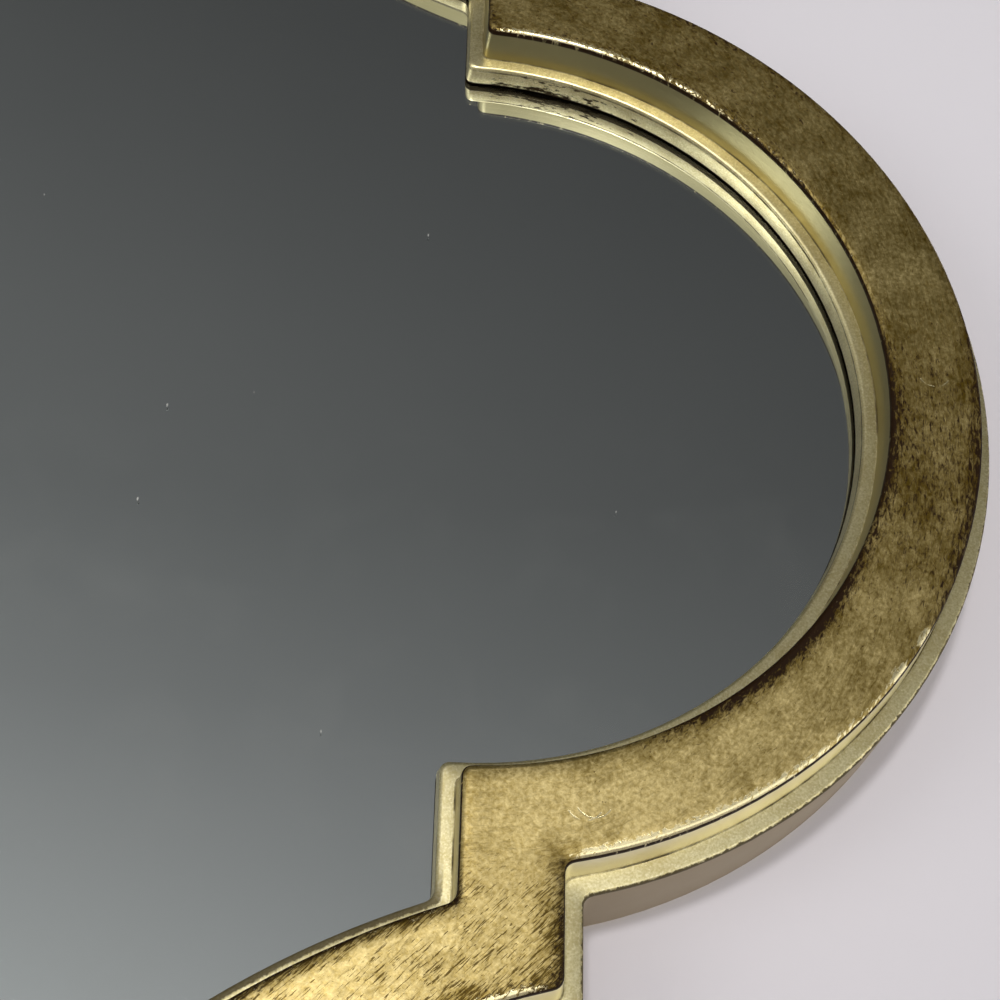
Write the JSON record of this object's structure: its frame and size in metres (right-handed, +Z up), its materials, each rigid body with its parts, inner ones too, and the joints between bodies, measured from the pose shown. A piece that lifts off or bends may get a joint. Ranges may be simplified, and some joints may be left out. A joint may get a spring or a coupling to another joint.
{
  "type": "framed wall mirror",
  "caption": "Quatrefoil wall mirror: lipped base ring with a raised antique-gold band, silvered glass, hardboard back held by turn buttons, and swinging ring hangers.",
  "frame": {"origin": "on the wall plane, behind the centre of the mirror", "axes": "+Z up the wall, +Y into the wall, +X to the right of someone facing the mirror"},
  "size_m": [0.8148, 0.042, 0.8148],
  "materials": {
    "gilded_base": "satin antique-gold paint on fibreboard",
    "gilded_band": "antique gold with a brushed dark patina and worn edges",
    "silvered_glass": "silvered float glass",
    "corrugated_card": "matte",
    "hardboard": "smooth brown hardboard",
    "zinc_steel": "zinc plated",
    "screw_steel": "yellow passivated steel"
  },
  "bodies": {
    "mirror": {"base_frame": "gilded_base", "face_band": "gilded_band", "mirror_pane": "silvered_glass", "filler_sheet": "corrugated_card", "backing_board": "hardboard", "button_screws": "screw_steel", "hanger_screws": "screw_steel", "hanger_strap_left": "zinc_steel", "hanger_strap_right": "zinc_steel"},
    "turn_button_1": {"turn_button_1": "zinc_steel"},
    "turn_button_2": {"turn_button_2": "zinc_steel"},
    "turn_button_3": {"turn_button_3": "zinc_steel"},
    "turn_button_4": {"turn_button_4": "zinc_steel"},
    "turn_button_5": {"turn_button_5": "zinc_steel"},
    "turn_button_6": {"turn_button_6": "zinc_steel"},
    "turn_button_7": {"turn_button_7": "zinc_steel"},
    "turn_button_8": {"turn_button_8": "zinc_steel"},
    "hanger_ring_right": {"hanger_ring_right": "zinc_steel"},
    "hanger_ring_left": {"hanger_ring_left": "zinc_steel"}
  },
  "joints": [
    {"name": "turn_button_1_swivel", "type": "hinge", "parent": "mirror", "child": "turn_button_1", "pos_m": [0.3896, -0.0153, 0], "axis": [0, 1, 0], "range_deg": [-90, 90]},
    {"name": "turn_button_2_swivel", "type": "hinge", "parent": "mirror", "child": "turn_button_2", "pos_m": [0.19809, -0.0153, 0.19809], "axis": [0, 1, 0], "range_deg": [-90, 90]},
    {"name": "turn_button_3_swivel", "type": "hinge", "parent": "mirror", "child": "turn_button_3", "pos_m": [0, -0.0153, 0.3896], "axis": [0, 1, 0], "range_deg": [-90, 90]},
    {"name": "turn_button_4_swivel", "type": "hinge", "parent": "mirror", "child": "turn_button_4", "pos_m": [-0.19809, -0.0153, 0.19809], "axis": [0, 1, 0], "range_deg": [-90, 90]},
    {"name": "turn_button_5_swivel", "type": "hinge", "parent": "mirror", "child": "turn_button_5", "pos_m": [-0.3896, -0.0153, 0], "axis": [0, 1, 0], "range_deg": [-90, 90]},
    {"name": "turn_button_6_swivel", "type": "hinge", "parent": "mirror", "child": "turn_button_6", "pos_m": [-0.19809, -0.0153, -0.19809], "axis": [0, 1, 0], "range_deg": [-90, 90]},
    {"name": "turn_button_7_swivel", "type": "hinge", "parent": "mirror", "child": "turn_button_7", "pos_m": [0, -0.0153, -0.3896], "axis": [0, 1, 0], "range_deg": [-90, 90]},
    {"name": "turn_button_8_swivel", "type": "hinge", "parent": "mirror", "child": "turn_button_8", "pos_m": [0.19809, -0.0153, -0.19809], "axis": [0, 1, 0], "range_deg": [-90, 90]},
    {"name": "hanger_ring_right_swing", "type": "hinge", "parent": "mirror", "child": "hanger_ring_right", "pos_m": [0.15336, -0.01275, 0.26086], "axis": [0.891, 0, 0.454], "range_deg": [0, 174]},
    {"name": "hanger_ring_left_swing", "type": "hinge", "parent": "mirror", "child": "hanger_ring_left", "pos_m": [-0.15336, -0.01275, 0.26086], "axis": [0.891, 0, -0.454], "range_deg": [0, 174]}
  ]
}
